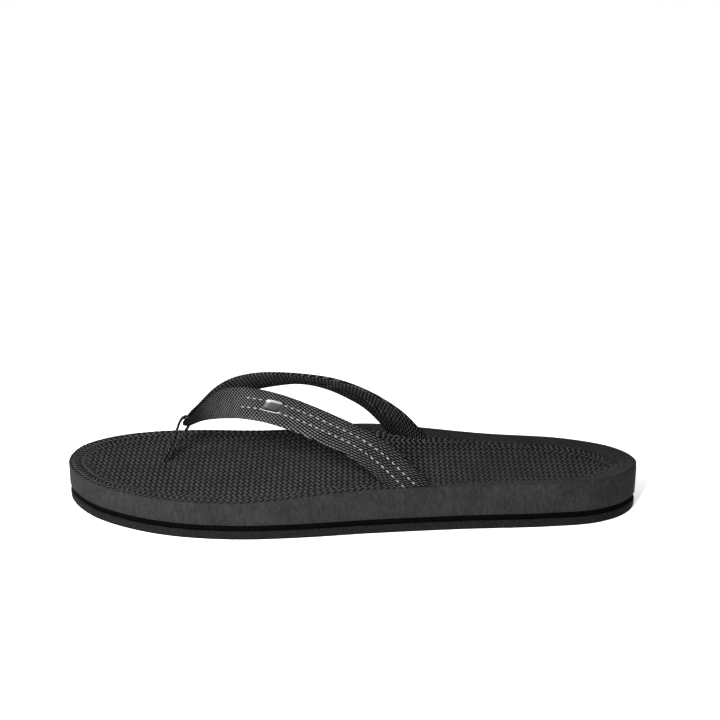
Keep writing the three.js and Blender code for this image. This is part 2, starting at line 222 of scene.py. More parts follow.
def sole_patch(inset, along_count, across_count):
    """A grid over the sole's outline, inset all round, with its boundary loop of vertex indices.

    Rows run from toe to heel and columns from the outer side to the inner side."""
    edge = outline - outline_normal * inset
    corners = [outline_index(*c) for c in ((-119, -22), (-121, 33), (121, -23), (121, 13.5))]
    toe_outer, toe_inner, heel_outer, heel_inner = corners

    def stretch(first, last, count):
        span = (last - first) % OUTLINE_SAMPLES
        at = first + span * np.linspace(0, 1, count)
        low = np.floor(at).astype(int)
        share = (at - low)[:, None]
        return edge[low % OUTLINE_SAMPLES] * (1 - share) + edge[(low + 1) % OUTLINE_SAMPLES] * share

    outer = stretch(toe_outer, heel_outer, along_count)
    heel = stretch(heel_outer, heel_inner, across_count)
    inner = stretch(heel_inner, toe_inner, along_count)[::-1]
    toe = stretch(toe_inner, toe_outer, across_count)[::-1]
    u = np.linspace(0, 1, along_count)[:, None, None]
    v = np.linspace(0, 1, across_count)[None, :, None]
    grid = (1 - v) * outer[:, None] + v * inner[:, None] + (1 - u) * toe[None] + u * heel[None]
    grid -= (1 - u) * ((1 - v) * toe[0] + v * toe[-1]) + u * ((1 - v) * heel[0] + v * heel[-1])
    index = np.arange(along_count * across_count).reshape(along_count, across_count)
    loop = np.concatenate([index[:-1, 0], index[-1, :-1], index[:0:-1, -1], index[0, :0:-1]])
    return grid.reshape(-1, 2), loop


def sole_slab(name, counts, inset, face_height, rings, face_is_top):
    """A closed layer of the sole: a detailed face, rings round its edge, and a plain far face.

    face_height(xy) is the detailed face's height; rings are (distance outside the face's edge,
    function of the face's edge height) from the face to the far side."""
    rows, columns = counts
    xy, loop = sole_patch(inset, rows, columns)
    face = np.column_stack([xy, face_height(xy)])
    around = face[loop]
    tangent = unit(np.roll(around, -1, 0)[:, :2] - np.roll(around, 1, 0)[:, :2])
    normal = np.stack([tangent[:, 1], -tangent[:, 0]], 1)
    count = len(loop)
    vertices = [face]
    for offset, height in rings:
        ring_xy = around[:, :2] + normal * offset
        vertices.append(np.column_stack([ring_xy, height(around[:, 2]) + np.zeros(count)]))
    faces = [grid_faces(rows, columns, flip=face_is_top)]
    start = len(face)
    links = np.concatenate([loop, start + np.arange(len(rings) * count)]).reshape(-1, count)
    nxt = np.roll(links, -1, 1)
    band = np.stack([links[:-1], nxt[:-1], nxt[1:], links[1:]], -1).reshape(-1, 4)
    faces.append(band[:, ::-1] if face_is_top else band)
    last = links[-1]
    outer_side = last[:rows]
    inner_side = last[rows + columns - 2 : 2 * rows + columns - 2][::-1]
    cap = np.stack([outer_side[:-1], outer_side[1:], inner_side[1:], inner_side[:-1]], -1)
    heel = last[rows - 1 : rows + columns - 1]
    toe = np.concatenate([last[2 * rows + columns - 3 :], last[:1]])
    ends = [heel, toe]
    if not face_is_top:
        cap = cap[:, ::-1]
        ends = [e[::-1] for e in ends]
    faces = [f for part in faces for f in part.tolist()] + cap.tolist()
    faces += [e[::-1].tolist() for e in ends]
    vertices = np.vstack(vertices)
    # Toe and heel lean in towards the ground
    vertices[:, 0] *= 1 - END_TAPER * (1 - np.clip(vertices[:, 2] / TOE_HEIGHT, 0, 1))
    inside, along = edge_coordinates(vertices[:, :2])
    maps = {"pattern": vertices[:, :2] * MM, "border": np.column_stack([along, inside]) * MM}
    return make_mesh(name, vertices, faces, maps, outline_length * MM), inside[:start]


# ---------- the footbed's surface ----------
BORDER_STRETCH = 1.2  # how much longer the pitch is in the border
border_length = outline_length / BORDER_STRETCH
# Ridge to ridge along a row, near 2.5 mm, so that a whole number fits round the border
PATTERN_PITCH = border_length / round(border_length / 2.5)
PATTERN_ROW = 2.3  # width of a row
PATTERN_SLANT = 1.8  # how far a ridge leans along its row
PATTERN_HEIGHT = 0.32
EDGE_ROWS = 9.2  # width of the border whose rows follow the sole's edge
HEEL_ROWS = 5.5  # how much wider that border is round the heel


def footbed_top(xy, inside):
    x, y = xy[:, 0], xy[:, 1]
    rim = TOE_HEIGHT + (HEEL_HEIGHT - TOE_HEIGHT) * smoothstep(-58, 8, x)
    arch = ARCH_RISE * np.exp(-(((x - ARCH_X) / 30) ** 2)) * smoothstep(12, 37, y)
    dish = DISH_FOREFOOT + (DISH_HEEL - DISH_FOREFOOT) * smoothstep(-40, 70, x)
    inner_heel = 0.7 * smoothstep(20, 50, x) * smoothstep(0, 15, y)
    return rim + arch + inner_heel - dish * smoothstep(0, RIM_WIDTH, inside)


def herringbone(along, across):
    """Rows of short slanted ridges, leaning one way and then the other: 0 to 1."""
    row = across / PATTERN_ROW
    share = row - np.floor(row)
    lean = np.where(np.floor(row) % 2 < 1, 1.0, -1.0)
    phase = (along - lean * (share - 0.5) * PATTERN_SLANT) / PATTERN_PITCH
    ridge = 0.5 + 0.5 * np.cos(2 * np.pi * phase)
    return ridge * (0.4 + 0.6 * np.sqrt(np.sin(np.pi * share)))


def relief(xy, inside):
    """How much of the pattern shows: none on the smooth rim round the heel and the arch."""
    x, y = xy[:, 0], xy[:, 1]
    inner_side = smoothstep(-5, 5, y)
    smooth_rim = -0.6 + (4.2 + 2.2 * smoothstep(100, 128, x)) * smoothstep(15, 50, x)
    smooth_rim += 5.5 * smoothstep(-45, -5, x) * inner_side * (1 - 0.6 * smoothstep(15, 50, x))
    smooth_rim += 1.0 * inner_side
    depth = 1 - 0.3 * smoothstep(30, 70, x)
    return depth * smoothstep(smooth_rim - 0.8, smooth_rim + 1.6, inside)


def footbed_height(xy):
    inside, along = edge_coordinates(xy)
    straight = herringbone(xy[:, 0], xy[:, 1] + 100)
    border = herringbone(along / BORDER_STRETCH, inside + 100)
    from_border = inside - EDGE_ROWS - HEEL_ROWS * smoothstep(70, 115, xy[:, 0])
    follows_edge = 1 - smoothstep(-0.25, 0.25, from_border)
    pattern = straight * (1 - follows_edge) + border * follows_edge
    show = relief(xy, inside)
    return footbed_top(xy, inside) + (PATTERN_HEIGHT * (pattern - 0.55) - 0.1) * show


def fillet(radius, steps):
    """Rings that round the top edge off over a radius."""
    angles = np.radians(np.linspace(15, 90, steps))
    return [
        (radius * math.sin(a), lambda z, a=a: z - radius * (1 - math.cos(a))) for a in angles
    ]


EDGE_RADIUS = 0.55  # of the footbed's top edge


def footbed():
    wall_foot = FOOTBED_BOTTOM + 0.3
    wall = [
        (EDGE_RADIUS + 0.3 * share, lambda z, s=share: (z - EDGE_RADIUS) * (1 - s) + wall_foot * s)
        for share in (0.15, 0.4, 0.7, 1.0)
    ]
    under = [(0.6, lambda z: FOOTBED_BOTTOM), (-0.3, lambda z: FOOTBED_BOTTOM)]
    rings = fillet(EDGE_RADIUS, 4) + wall + under
    piece, inside = sole_slab("footbed", (600, 132), 0.9, footbed_height, rings, True)
    shows = np.zeros(len(piece.data.vertices))
    shows[: len(inside)] = relief(rest_places(piece)[: len(inside)] / MM, inside)
    piece.data.attributes.new("relief", "FLOAT", "POINT").data.foreach_set("value", shows)
    return piece


def midlayer():
    low, high = MIDLAYER[0] - 0.3, MIDLAYER[1] + 0.3
    rings = [
        (0.7, lambda z: high - 0.1),
        (0.8, lambda z: high - 0.5),
        (0.7, lambda z: (low + high) / 2),
        (0.8, lambda z: low + 0.5),
        (0.7, lambda z: low + 0.1),
        (0.4, lambda z: low + 0.05),
    ]
    flat = lambda xy: np.full(len(xy), high - 0.05)
    return sole_slab("midlayer", (120, 24), 1.5, flat, rings, True)[0]


GROOVE_PITCH = 24
GROOVE_FIRST_X = -112
GROOVE_WAVE = 3
GROOVE_WAVE_LENGTH = 24
GROOVE_DEPTH = 1.3
GROOVE_WALL = (0.9, 1.5)  # from a groove's middle to the foot and the top of its wall
GROOVE_MARGIN = (5, 6.5)  # from the sole's edge, over which the grooves fade in


def tread_height(xy):
    inside, _ = edge_coordinates(xy)
    x, y = xy[:, 0], xy[:, 1]
    wave = np.abs(((y / GROOVE_WAVE_LENGTH) % 1) * 2 - 1) * 2 - 1
    centre = (x - GROOVE_FIRST_X - GROOVE_WAVE * wave) / GROOVE_PITCH
    distance = np.abs(centre - np.round(centre)) * GROOVE_PITCH
    groove = 1 - smoothstep(*GROOVE_WALL, distance)
    return GROOVE_DEPTH * groove * smoothstep(*GROOVE_MARGIN, inside)


def outsole():
    top = OUTSOLE_TOP
    rings = [
        (0.5, lambda z: 0.1),
        (0.85, lambda z: 0.4),
        (1.0, lambda z: 0.9),
        (1.0, lambda z: 2.2),
        (1.0, lambda z: top - 0.7),
        (0.9, lambda z: top - 0.25),
        (0.5, lambda z: top),
    ]
    return sole_slab("outsole", (330, 90), 1.0, tread_height, rings, False)[0]


# ---------- strap ----------
ankle_edge = np.array([s[0] for s in STRAP_STATIONS], float)
toe_edge = np.array([s[1] for s in STRAP_STATIONS], float)
STATIONS = len(STRAP_STATIONS) - 1
# The soft strap sags a little where the toe loop gathers it
from_neck = np.abs(np.arange(STATIONS + 1) - NECK)[:, None]
sag = np.array([math.sin(LOOP_LEAN), 0, math.cos(LOOP_LEAN)])
ankle_edge -= (2.8 * np.exp(-((from_neck / 2.8) ** 2)) + 2.6 * np.exp(-(from_neck**2))) * sag
toe_edge -= 2.9 * np.exp(-((from_neck / 1.4) ** 2)) * sag
# and its inner arm's edges curl in over the instep
CURL_STATION = 19
curl = 0.5 * np.exp(-(((np.arange(STATIONS + 1) - CURL_STATION) / 2.5) ** 2))
ankle_edge[:, 2] -= curl
toe_edge[:, 2] += curl


def strap_frame(t):
    """Middle, along, across, outward and width of the strap at each share t of its stations."""
    middle = lambda s: (catmull_rom(ankle_edge, s) + catmull_rom(toe_edge, s)) / 2
    t = np.asarray(t, float)
    along = unit(middle(np.minimum(t + 1e-3, 1)) - middle(np.maximum(t - 1e-3, 0)))
    across = catmull_rom(ankle_edge, t) - catmull_rom(toe_edge, t)
    width = np.linalg.norm(across, axis=1)
    across = unit(across)
    outward = unit(np.cross(across, along))
    return middle(t), along, across, outward, width


def strap_lengths(samples=2000):
    t = np.linspace(0, 1, samples)
    middle = strap_frame(t)[0]
    step = np.linalg.norm(np.diff(middle, axis=0), axis=1)
    return t, np.concatenate([[0], np.cumsum(step)])


strap_t, strap_s = strap_lengths()
strap_edge_gaps = catmull_rom(ankle_edge, strap_t) - catmull_rom(toe_edge, strap_t)
strap_widths = np.linalg.norm(strap_edge_gaps, axis=1)
neck_s = float(np.interp(NECK / STATIONS, strap_t, strap_s))
STITCH_OFFSET = 2.35  # of each stitch row from the strap's middle
STITCH_PITCH = 3.2
STITCH_LENGTH = 1.75
STITCH_END_ROOM = 2.2  # from a stitch's start to the strap's end, at least
STITCH_FROM_NECK = 40  # where the rows start, along the strap


def strap_profile(across_share, thickness):
    """Height of the outer surface above the strap's middle, before pleats."""
    edge = np.abs(across_share)
    return thickness / 2 * np.clip(1 - edge**3.4, 0, 1) ** (1 / 2.6)


def strap_outer(t, across_share, lift=0.0):
    """Points on the strap's outer surface, and the way out of it there.

    across_share runs from -1 at the toe edge to 1 at the ankle edge."""
    middle, _, across, outward, width = strap_frame(t)
    s = np.interp(t, strap_t, strap_s)
    height = strap_height(s, across_share, width, outer=True) + lift
    side = (across_share * width / 2)[:, None] * across
    return middle + side + height[:, None] * outward, outward


def strap_thickness(s):
    near = 1 - smoothstep(6, 22, np.abs(s - neck_s))
    return STRAP_THICKNESS - 0.7 * near


def strap_height(s, share, width, outer):
    """Signed height of the strap's skin from its middle sheet, with stitch dips and pleats."""
    height = strap_profile(share, strap_thickness(s))
    from_neck = np.abs(s - neck_s)
    sewn = smoothstep(STITCH_FROM_NECK - 6, STITCH_FROM_NECK + 2, from_neck)
    offset = share * width / 2
    rows = np.exp(-(((np.abs(offset) - STITCH_OFFSET) / 0.75) ** 2))
    quilt = 0.22 + 0.08 * np.cos(2 * np.pi * (s - neck_s) / STITCH_PITCH)
    height = height - quilt * rows * sewn
    pleat = np.exp(-((from_neck / 15) ** 2)) * (0.35 + 0.65 * smoothstep(1, 6, from_neck))
    fold = np.cos(share * 7.5 + 0.8 * np.sin(s * 0.22)) * 0.42 * pleat
    height = height + (fold if outer else -fold) * (1 - np.abs(share) ** 4)
    if not outer:
        seam = np.exp(-((offset / 0.42) ** 2)) * 0.75 + np.exp(-((offset / 1.6) ** 2)) * 0.15
        height = height - seam * smoothstep(4, 16, from_neck)
    return height


def section_shares():
    """Across shares round the strap's section: outer skin from toe edge to ankle edge, then back."""
    outer = np.sin(np.radians(np.linspace(-90, 90, 35)))
    near_seam = np.array([-0.11, -0.075, -0.05, -0.025, 0, 0.025, 0.05, 0.075, 0.11])
    rest = [v for v in np.sin(np.radians(np.linspace(-90, 90, 31))) if abs(v) > 0.13]
    inner = np.sort(np.concatenate([near_seam, rest]))[::-1][1:-1]
    return outer, inner


COVER_MAP_REACH = 7.5  # of the cover's map, each way across the strap


def strap_cover():
    steps = 400
    s = np.linspace(0, strap_s[-1], steps)
    t = np.interp(s, strap_s, strap_t)
    middle, _, across, outward, width = strap_frame(t)
    outer, inner = section_shares()
    shares = np.concatenate([outer, inner])
    count = len(shares)
    points = np.empty((steps, count, 3))
    for k, share in enumerate(shares):
        on_outer = k < len(outer)
        h = strap_height(s, np.full(steps, share), width, on_outer)
        h = np.maximum(h, 0.0) * (1 if on_outer else -1)
        side = (share * width / 2)[:, None] * across
        points[:, k] = middle + side + h[:, None] * outward
    v = np.concatenate([outer, -inner]) * COVER_MAP_REACH
    uv = np.stack(np.broadcast_arrays(np.abs(s - neck_s)[:, None], v[None]), -1).reshape(-1, 2) * MM
    faces = grid_faces(steps, count, wrap=True).tolist()
    first = list(range(count))
    last = [(steps - 1) * count + k for k in range(count)]
    faces += [first, last[::-1]]
    cover = make_mesh("strap_cover_textile", points.reshape(-1, 3), faces, {"pattern": uv})
    # The side against the foot is painted darker, as painted shade, most of all towards the toe edge
    inner_side_shade = 0.35 + 0.4 * smoothstep(-0.25, 0.15, inner)
    painted_side_shade = np.tile(np.concatenate([np.ones(len(outer)), inner_side_shade]), steps)
    cover.data.attributes.new("painted_side_shade", "FLOAT", "POINT").data.foreach_set("value", painted_side_shade)
    return cover


def tube(path, normal, radius, sides=6):
    """Vertices and faces of a closed tube along path (n, 3), radius (n,), with capped ends."""
    path = np.asarray(path, float)
    tangent = unit(np.gradient(path, axis=0))
    side = unit(np.cross(tangent, normal))
    up = np.cross(side, tangent)
    angle = np.arange(sides) * 2 * np.pi / sides
    ring = side[:, None] * np.cos(angle)[None, :, None] + up[:, None] * np.sin(angle)[None, :, None]
    vertices = (path[:, None] + ring * np.asarray(radius)[:, None, None]).reshape(-1, 3)
    faces = grid_faces(len(path), sides, wrap=True, flip=True).tolist()
    last = (len(path) - 1) * sides
    faces += [list(range(sides)), list(range(last, last + sides))[::-1]]
    return vertices, faces


def joined(parts):
    vertices, faces, start = [], [], 0
    for v, f in parts:
        vertices.append(v)
        faces += [[i + start for i in face] for face in f]
        start += len(v)
    return np.vstack(vertices), faces


def stitches(name, direction):
    """Both rows of stitches on one arm; direction is -1 for the outer arm and 1 for the inner."""
    parts = []
    end = strap_s[-1] - neck_s if direction > 0 else neck_s
    for row in (-1, 1):
        distance = STITCH_FROM_NECK + 0.4 * row
        while distance + STITCH_END_ROOM < end:
            s = neck_s + direction * (distance + np.linspace(0, STITCH_LENGTH, 6))
            t = np.interp(s, strap_s, strap_t)
            share = row * STITCH_OFFSET / (np.interp(s, strap_s, strap_widths) / 2)
            arch = np.array([-0.28, 0.04, 0.14, 0.14, 0.04, -0.28])
            path, outward = strap_outer(t, share, lift=arch)
            path = path + outward * 0.05
            radius = np.array([0.16, 0.25, 0.28, 0.28, 0.25, 0.16]) * (1 + 0.08 * rng.standard_normal())
            parts.append(tube(path, outward, radius))
            distance += STITCH_PITCH
    return make_mesh(name, *joined(parts))


CORE_INSET = 1.1  # from the strap's edge
CORE_THICKNESS = 0.35


def strap_core():
    """The webbing inside the cover: a thin band."""
    steps = 120
    t = np.linspace(0, 1, steps)
    middle, _, across, outward, width = strap_frame(t)
    half = np.maximum(width / 2 - CORE_INSET, 0.2)[:, None] * across
    rise = CORE_THICKNESS / 2 * outward
    corners = [middle - half - rise, middle + half - rise, middle + half + rise, middle - half + rise]
    points = np.stack(corners, 1).reshape(-1, 3)
    faces = grid_faces(steps, 4, wrap=True, flip=True).tolist()
    faces += [[0, 1, 2, 3], [steps * 4 - 1, steps * 4 - 2, steps * 4 - 3, steps * 4 - 4]]
    s = np.interp(t, strap_t, strap_s)
    uv = np.stack(np.broadcast_arrays(s[:, None], np.array([0, 14, 14, 0])[None]), -1)
    return make_mesh("strap_core_webbing", points, faces, {"pattern": uv.reshape(-1, 2) * MM})


def badge():
    """A plain satin tab on the outer arm, curved with the strap."""
    length, width = 9.2, 6.4
    centre_s = float(np.interp(BADGE_STATION / STATIONS, strap_t, strap_s))
    rows, around = [], 64
    angle = np.linspace(0, 2 * np.pi, around, endpoint=False)
    # a rounded rectangle as a superellipse, at shrinking sizes for the rim, bevel and face
    unit_x = np.sign(np.cos(angle)) * np.abs(np.cos(angle)) ** 0.42
    unit_y = np.sign(np.sin(angle)) * np.abs(np.sin(angle)) ** 0.42
    profile = [
        (0.98, -0.25), (1, 0.25), (1, 0.62), (0.96, 0.8),
        (0.88, 0.82), (0.83, 0.62), (0.4, 0.66), (0.06, 0.66),
    ]
    skin = STRAP_THICKNESS / 2
    for size, lift in profile:
        shrink = (1 - size) * width / 2
        x = unit_x * (length / 2 - shrink)
        y = unit_y * (width / 2 - shrink)
        if size < 0.5:
            x, y = unit_x * length / 2 * size, unit_y * width / 2 * size
        s = centre_s + x
        t = np.interp(s, strap_s, strap_t)
        middle, _, across, outward, _ = strap_frame(t)
        rows.append(middle + y[:, None] * across + (skin + lift) * outward)
    points = np.vstack(rows)
    faces = grid_faces(len(profile), around, wrap=True, flip=True).tolist()
    last = (len(profile) - 1) * around
    faces += [list(range(around)), list(range(last, last + around))[::-1]]
    return make_mesh("strap_badge", points, faces)


# ---------- toe loop ----------
def toe_loop():
    """One tape, doubled: up the front, round the strap's neck and back down."""
    thickness, width = 1.6, 4.8
    low = -1.2  # just under the footbed's surface
    # Half of the loop: (distance from its middle, distance up its lean)
    right = [
        (0.78, low), (0.82, 3), (0.92, 7), (1.15, 11), (1.5, 14.5),
        (1.95, 18), (2.25, 20.6), (2.1, 22.8), (1.3, 24.2), (0, 24.6),
    ]
    path = [(-a, u) for a, u in right] + [(a, u) for a, u in right[-2::-1]]
    path = np.array([(a, 0, u) for a, u in path], float)
    steps, around = 96, 24
    curve = catmull_rom(path, np.linspace(0, 1, steps))
    tangent = unit(np.gradient(curve, axis=0))
    side = np.array([0, 1.0, 0])
    outward = unit(np.cross(side, tangent))
    angle = np.linspace(0, 2 * np.pi, around, endpoint=False)
    flat = np.sign(np.cos(angle)) * np.abs(np.cos(angle)) ** 0.55 * width / 2
    thick = np.sign(np.sin(angle)) * np.abs(np.sin(angle)) ** 0.8 * thickness / 2
    squeezed = 1 - 0.2 * smoothstep(11, 18, curve[:, 2])[:, None, None]
    narrowed = 1 - 0.3 * smoothstep(13, 19, curve[:, 2])[:, None, None]
    across_tape = flat[None, :, None] * narrowed * side
    through_tape = thick[None, :, None] * squeezed * outward[:, None]
    local = (curve[:, None] + across_tape + through_tape).reshape(-1, 3)
    local[:, 0] -= 0.5 * smoothstep(8, 20, local[:, 2])  # some of the room that the bending strap needs
    turn = LOOP_TURN * (1 - smoothstep(14, 24, local[:, 2]))
    a, y = local[:, 0].copy(), local[:, 1].copy()
    local[:, 0] = a * np.cos(turn) + y * np.sin(turn)
    local[:, 1] = y * np.cos(turn) - a * np.sin(turn) + 1.5 * (1 - smoothstep(0, 22, local[:, 2]))
    sin, cos = math.sin(LOOP_LEAN), math.cos(LOOP_LEAN)
    across, _, up = local.T
    world = np.column_stack([across * cos + up * sin, local[:, 1], -across * sin + up * cos]) + LOOP_BASE
    length = np.concatenate([[0], np.cumsum(np.linalg.norm(np.diff(curve, axis=0), axis=1))])
    girth = np.concatenate([[0], np.cumsum(np.hypot(np.diff(flat), np.diff(thick)))])
    uv = np.stack(np.broadcast_arrays(length[:, None], girth[None]), -1).reshape(-1, 2) * MM
    faces = grid_faces(steps, around, wrap=True).tolist()
    last = (steps - 1) * around
    faces += [list(range(around)), list(range(last, last + around))[::-1]]
    return make_mesh("toe_loop_tape", world, faces, {"pattern": uv})


# ---------- materials ----------
class Nodes:
    """A material's node tree, built by short calls."""

    def __init__(self, name, color, roughness, metallic=0.0, sheen=0.0, specular=0.5):
        self.material = bpy.data.materials.new(name)
        self.material.use_nodes = True
        self.tree = self.material.node_tree
        self.shader = self.tree.nodes["Principled BSDF"]
        self.shader.inputs["Base Color"].default_value = (*color, 1)
        self.shader.inputs["Roughness"].default_value = roughness
        self.shader.inputs["Metallic"].default_value = metallic
        self.shader.inputs["Sheen Weight"].default_value = sheen
        self.shader.inputs["Sheen Roughness"].default_value = 0.5
        self.shader.inputs["Specular IOR Level"].default_value = specular

    def add(self, kind, **values):
        node = self.tree.nodes.new("ShaderNode" + kind)
        for key, value in values.items():
            if key in node.bl_rna.properties:
                setattr(node, key, value)
            else:
                node.inputs[key.replace("_", " ")].default_value = value
        return node

    def link(self, source, target):
        self.tree.links.new(source, target)

    def math(self, operation, *values):
        node = self.add("Math", operation=operation)
        for socket, value in zip(node.inputs, values):
            if isinstance(value, (int, float)):
                socket.default_value = value
            else:
                self.link(value, socket)
        return node.outputs[0]

    def smoothstep(self, value, low, high):
        node = self.add("MapRange", interpolation_type="SMOOTHSTEP")
        node.inputs["From Min"].default_value = low
        node.inputs["From Max"].default_value = high
        self.link(value, node.inputs[0])
        return node.outputs[0]

    def mix(self, share, a, b):
        """a where share is 0, b where it is 1; a and b are values."""
        return self.math("ADD", a, self.math("MULTIPLY", share, self.math("SUBTRACT", b, a)))

    def uv(self, name="pattern"):
        """The two coordinates of one of the piece's own maps, in metres."""
        split = self.add("SeparateXYZ")
        self.link(self.add("UVMap", uv_map=name).outputs[0], split.inputs[0])
        return split.outputs[0], split.outputs[1]

    def attribute(self, name, output):
        return self.add("Attribute", attribute_name=name).outputs[output]

    def rest(self, x=1.0, y=1.0, z=1.0):
        """Where the point was before any joint moved, so that the grain stays on the piece."""
        stretch = self.add("VectorMath", operation="MULTIPLY")
        stretch.inputs[1].default_value = (x, y, z)
        self.link(self.attribute("rest_place", "Vector"), stretch.inputs[0])
        return stretch.outputs[0]

    def noise(self, vector, scale, detail=4.0, roughness=0.6):
        node = self.add("TexNoise", Scale=scale, Detail=detail, Roughness=roughness)
        self.link(vector, node.inputs["Vector"])
        return node.outputs["Fac"]

    def ramp(self, value, low, high, color_low, color_high):
        node = self.add("ValToRGB")
        node.color_ramp.elements[0].position = low
        node.color_ramp.elements[1].position = high
        node.color_ramp.elements[0].color = (*color_low, 1)
        node.color_ramp.elements[1].color = (*color_high, 1)
        self.link(value, node.inputs[0])
        return node.outputs[0]

    def bump(self, height, distance, strength=1.0):
        """Raises the surface by distance metres where height is 1."""
        node = self.add("Bump", Distance=distance, Strength=strength)
        self.link(height, node.inputs["Height"])
        self.link(node.outputs[0], self.shader.inputs["Normal"])

    def color(self, source, shade=None):
        if shade is not None:
            node = self.add("VectorMath", operation="SCALE")
            self.link(source, node.inputs[0])
            self.link(shade, node.inputs["Scale"])
            source = node.outputs[0]
        self.link(source, self.shader.inputs["Base Color"])

    def rough(self, value, low, high):
        node = self.add("MapRange")
        node.inputs["To Min"].default_value = low
        node.inputs["To Max"].default_value = high
        self.link(value, node.inputs[0])
        self.link(node.outputs[0], self.shader.inputs["Roughness"])


def herringbone_nodes(m, along, across):
    """The same pattern as herringbone(), from two coordinates in metres."""
    row = m.math("MULTIPLY_ADD", across, 1 / (PATTERN_ROW * MM), 100 / PATTERN_ROW)
    share = m.math("FRACT", row)
    second = m.math("GREATER_THAN", m.math("FRACT", m.math("MULTIPLY", row, 0.5)), 0.5)
    lean = m.math("MULTIPLY_ADD", second, -2.0, 1.0)
    shift = m.math("MULTIPLY", lean, m.math("MULTIPLY_ADD", share, PATTERN_SLANT, -PATTERN_SLANT / 2))
    phase = m.math("SUBTRACT", m.math("MULTIPLY", along, 1 / MM), shift)
    wave = m.math("COSINE", m.math("MULTIPLY", phase, 2 * math.pi / PATTERN_PITCH))
    ridge = m.math("MULTIPLY_ADD", wave, 0.5, 0.5)
    ends = m.math("SQRT", m.math("SINE", m.math("MULTIPLY", share, math.pi)))
    return m.math("MULTIPLY", ridge, m.math("MULTIPLY_ADD", ends, 0.6, 0.4))


def footbed_material():
    m = Nodes("footbed_foam", (0.055, 0.055, 0.056), 0.8, specular=0.05)
    x, y = m.uv("pattern")
    along, inside = m.uv("border")
    heel = m.math("MULTIPLY", m.smoothstep(x, 0.07, 0.115), HEEL_ROWS * MM)
    from_edge = m.math("SUBTRACT", inside, heel)
    inner = m.smoothstep(from_edge, (EDGE_ROWS - 0.25) * MM, (EDGE_ROWS + 0.25) * MM)
    border = herringbone_nodes(m, m.math("DIVIDE", along, BORDER_STRETCH), inside)
    pattern = m.mix(inner, border, herringbone_nodes(m, x, y))
    shown = m.attribute("relief", "Fac")
    fine = m.noise(m.rest(), 1500, 3, 0.7)
    streaks = m.noise(m.rest(1, 1, 0.35), 800, 2, 0.6)
    broad = m.noise(m.rest(), 90, 3, 0.55)
    coarse = m.math("MULTIPLY_ADD", streaks, 0.35, m.math("MULTIPLY", broad, 0.2))
    grain = m.math("MULTIPLY_ADD", fine, 0.45, coarse)
    # Painted light and shade on the patterned top: its valleys are painted darker and its ridges lighter
    # than the plain foam of the wall and rim
    ridge_light_valley_shade = m.math("MULTIPLY_ADD", m.smoothstep(pattern, 0.25, 0.8), 3.2, 0.35)
    shade = m.mix(shown, 1.0, ridge_light_valley_shade)
    m.color(m.ramp(grain, 0.36, 0.64, (0.0046, 0.0046, 0.0047), (0.0163, 0.0163, 0.0165)), shade)
    m.rough(fine, 0.7, 0.92)
    height = m.math("MULTIPLY_ADD", m.math("MULTIPLY", pattern, shown), 0.8, m.math("MULTIPLY", fine, 0.1))
    m.bump(height, 0.0013, 1.0)
    return m.material


def midlayer_material():
    m = Nodes("midlayer_foam", (0.003, 0.003, 0.003), 0.9, specular=0.01)
    fine = m.noise(m.rest(1, 1, 0.5), 1800, 3, 0.7)
    m.color(m.ramp(fine, 0.35, 0.65, (0.0003, 0.0003, 0.0003), (0.0013, 0.0013, 0.0013)))
    m.rough(fine, 0.85, 0.97)
    m.bump(fine, 0.00012, 0.5)
    return m.material


def rubber_material():
    m = Nodes("outsole_rubber", (0.02, 0.02, 0.021), 0.85, specular=0.05)
    crumbs = m.add("TexVoronoi", Scale=850, Randomness=1.0)
    m.link(m.rest(), crumbs.inputs["Vector"])
    fine = m.noise(m.rest(), 1500, 4, 0.7)
    lump = m.math("MULTIPLY_ADD", fine, 0.7, crumbs.outputs["Distance"])
    m.color(m.ramp(lump, 0.4, 1.1, (0.0015, 0.0015, 0.0015), (0.0048, 0.0048, 0.005)))
    m.rough(fine, 0.75, 0.95)
    m.bump(lump, 0.0003, 0.8)
    return m.material


def twill_nodes(m, along, across, pitch, turn, flatten):
    """Ribs that cross the band, turning along it, broken into single stitches: 0 to 1."""
    shear = m.math("MULTIPLY", along, m.math("MULTIPLY_ADD", along, -flatten, turn))
    ribs = m.math("SINE", m.math("MULTIPLY", m.math("SUBTRACT", across, shear), 2 * math.pi / pitch))
    cross = m.math("SUBTRACT", along, m.math("MULTIPLY", across, 0.5))
    breaks = m.math("SINE", m.math("MULTIPLY", cross, 2 * math.pi / (pitch * 1.5)))
    ribs = m.math("MULTIPLY_ADD", ribs, 0.5, 0.5)
    return m.math("MULTIPLY", ribs, m.math("MULTIPLY_ADD", breaks, 0.32, 0.68))


def textile_material():
    m = Nodes("strap_twill", (0.05, 0.05, 0.051), 0.85, specular=0.03)
    along, across = m.uv()
    weave = twill_nodes(m, along, across, 0.00115, -1.25, -7.0)
    fuzz = m.noise(m.rest(), 3200, 3, 0.7)
    wear = m.noise(m.rest(), 160, 3, 0.55)
    value = m.math("MULTIPLY_ADD", weave, 0.75, m.math("MULTIPLY", fuzz, 0.25))
    value = m.math("MULTIPLY_ADD", wear, 0.25, m.math("SUBTRACT", value, 0.125))
    # Painted shade: the cover is painted darker near the toe loop, where its folds gather
    painted_neck_shade = m.math("MULTIPLY_ADD", m.smoothstep(along, 0.004, 0.036), 0.82, 0.18)
    # Painted shade: the cover is painted darker again towards the slots at both ends of the strap
    painted_slot_shade = m.math("MULTIPLY_ADD", m.smoothstep(along, 0.07, 0.125), -0.5, 1.0)
    # Times the painted shade on the side against the foot, kept on the cover as a point attribute
    shade = m.math("MULTIPLY", m.math("MULTIPLY", painted_neck_shade, painted_slot_shade), m.attribute("painted_side_shade", "Fac"))
    m.color(m.ramp(value, 0.34, 0.66, (0.001, 0.001, 0.001), (0.09, 0.09, 0.092)), shade)
    m.rough(fuzz, 0.75, 0.95)
    m.bump(weave, 0.0005, 1.0)
    return m.material


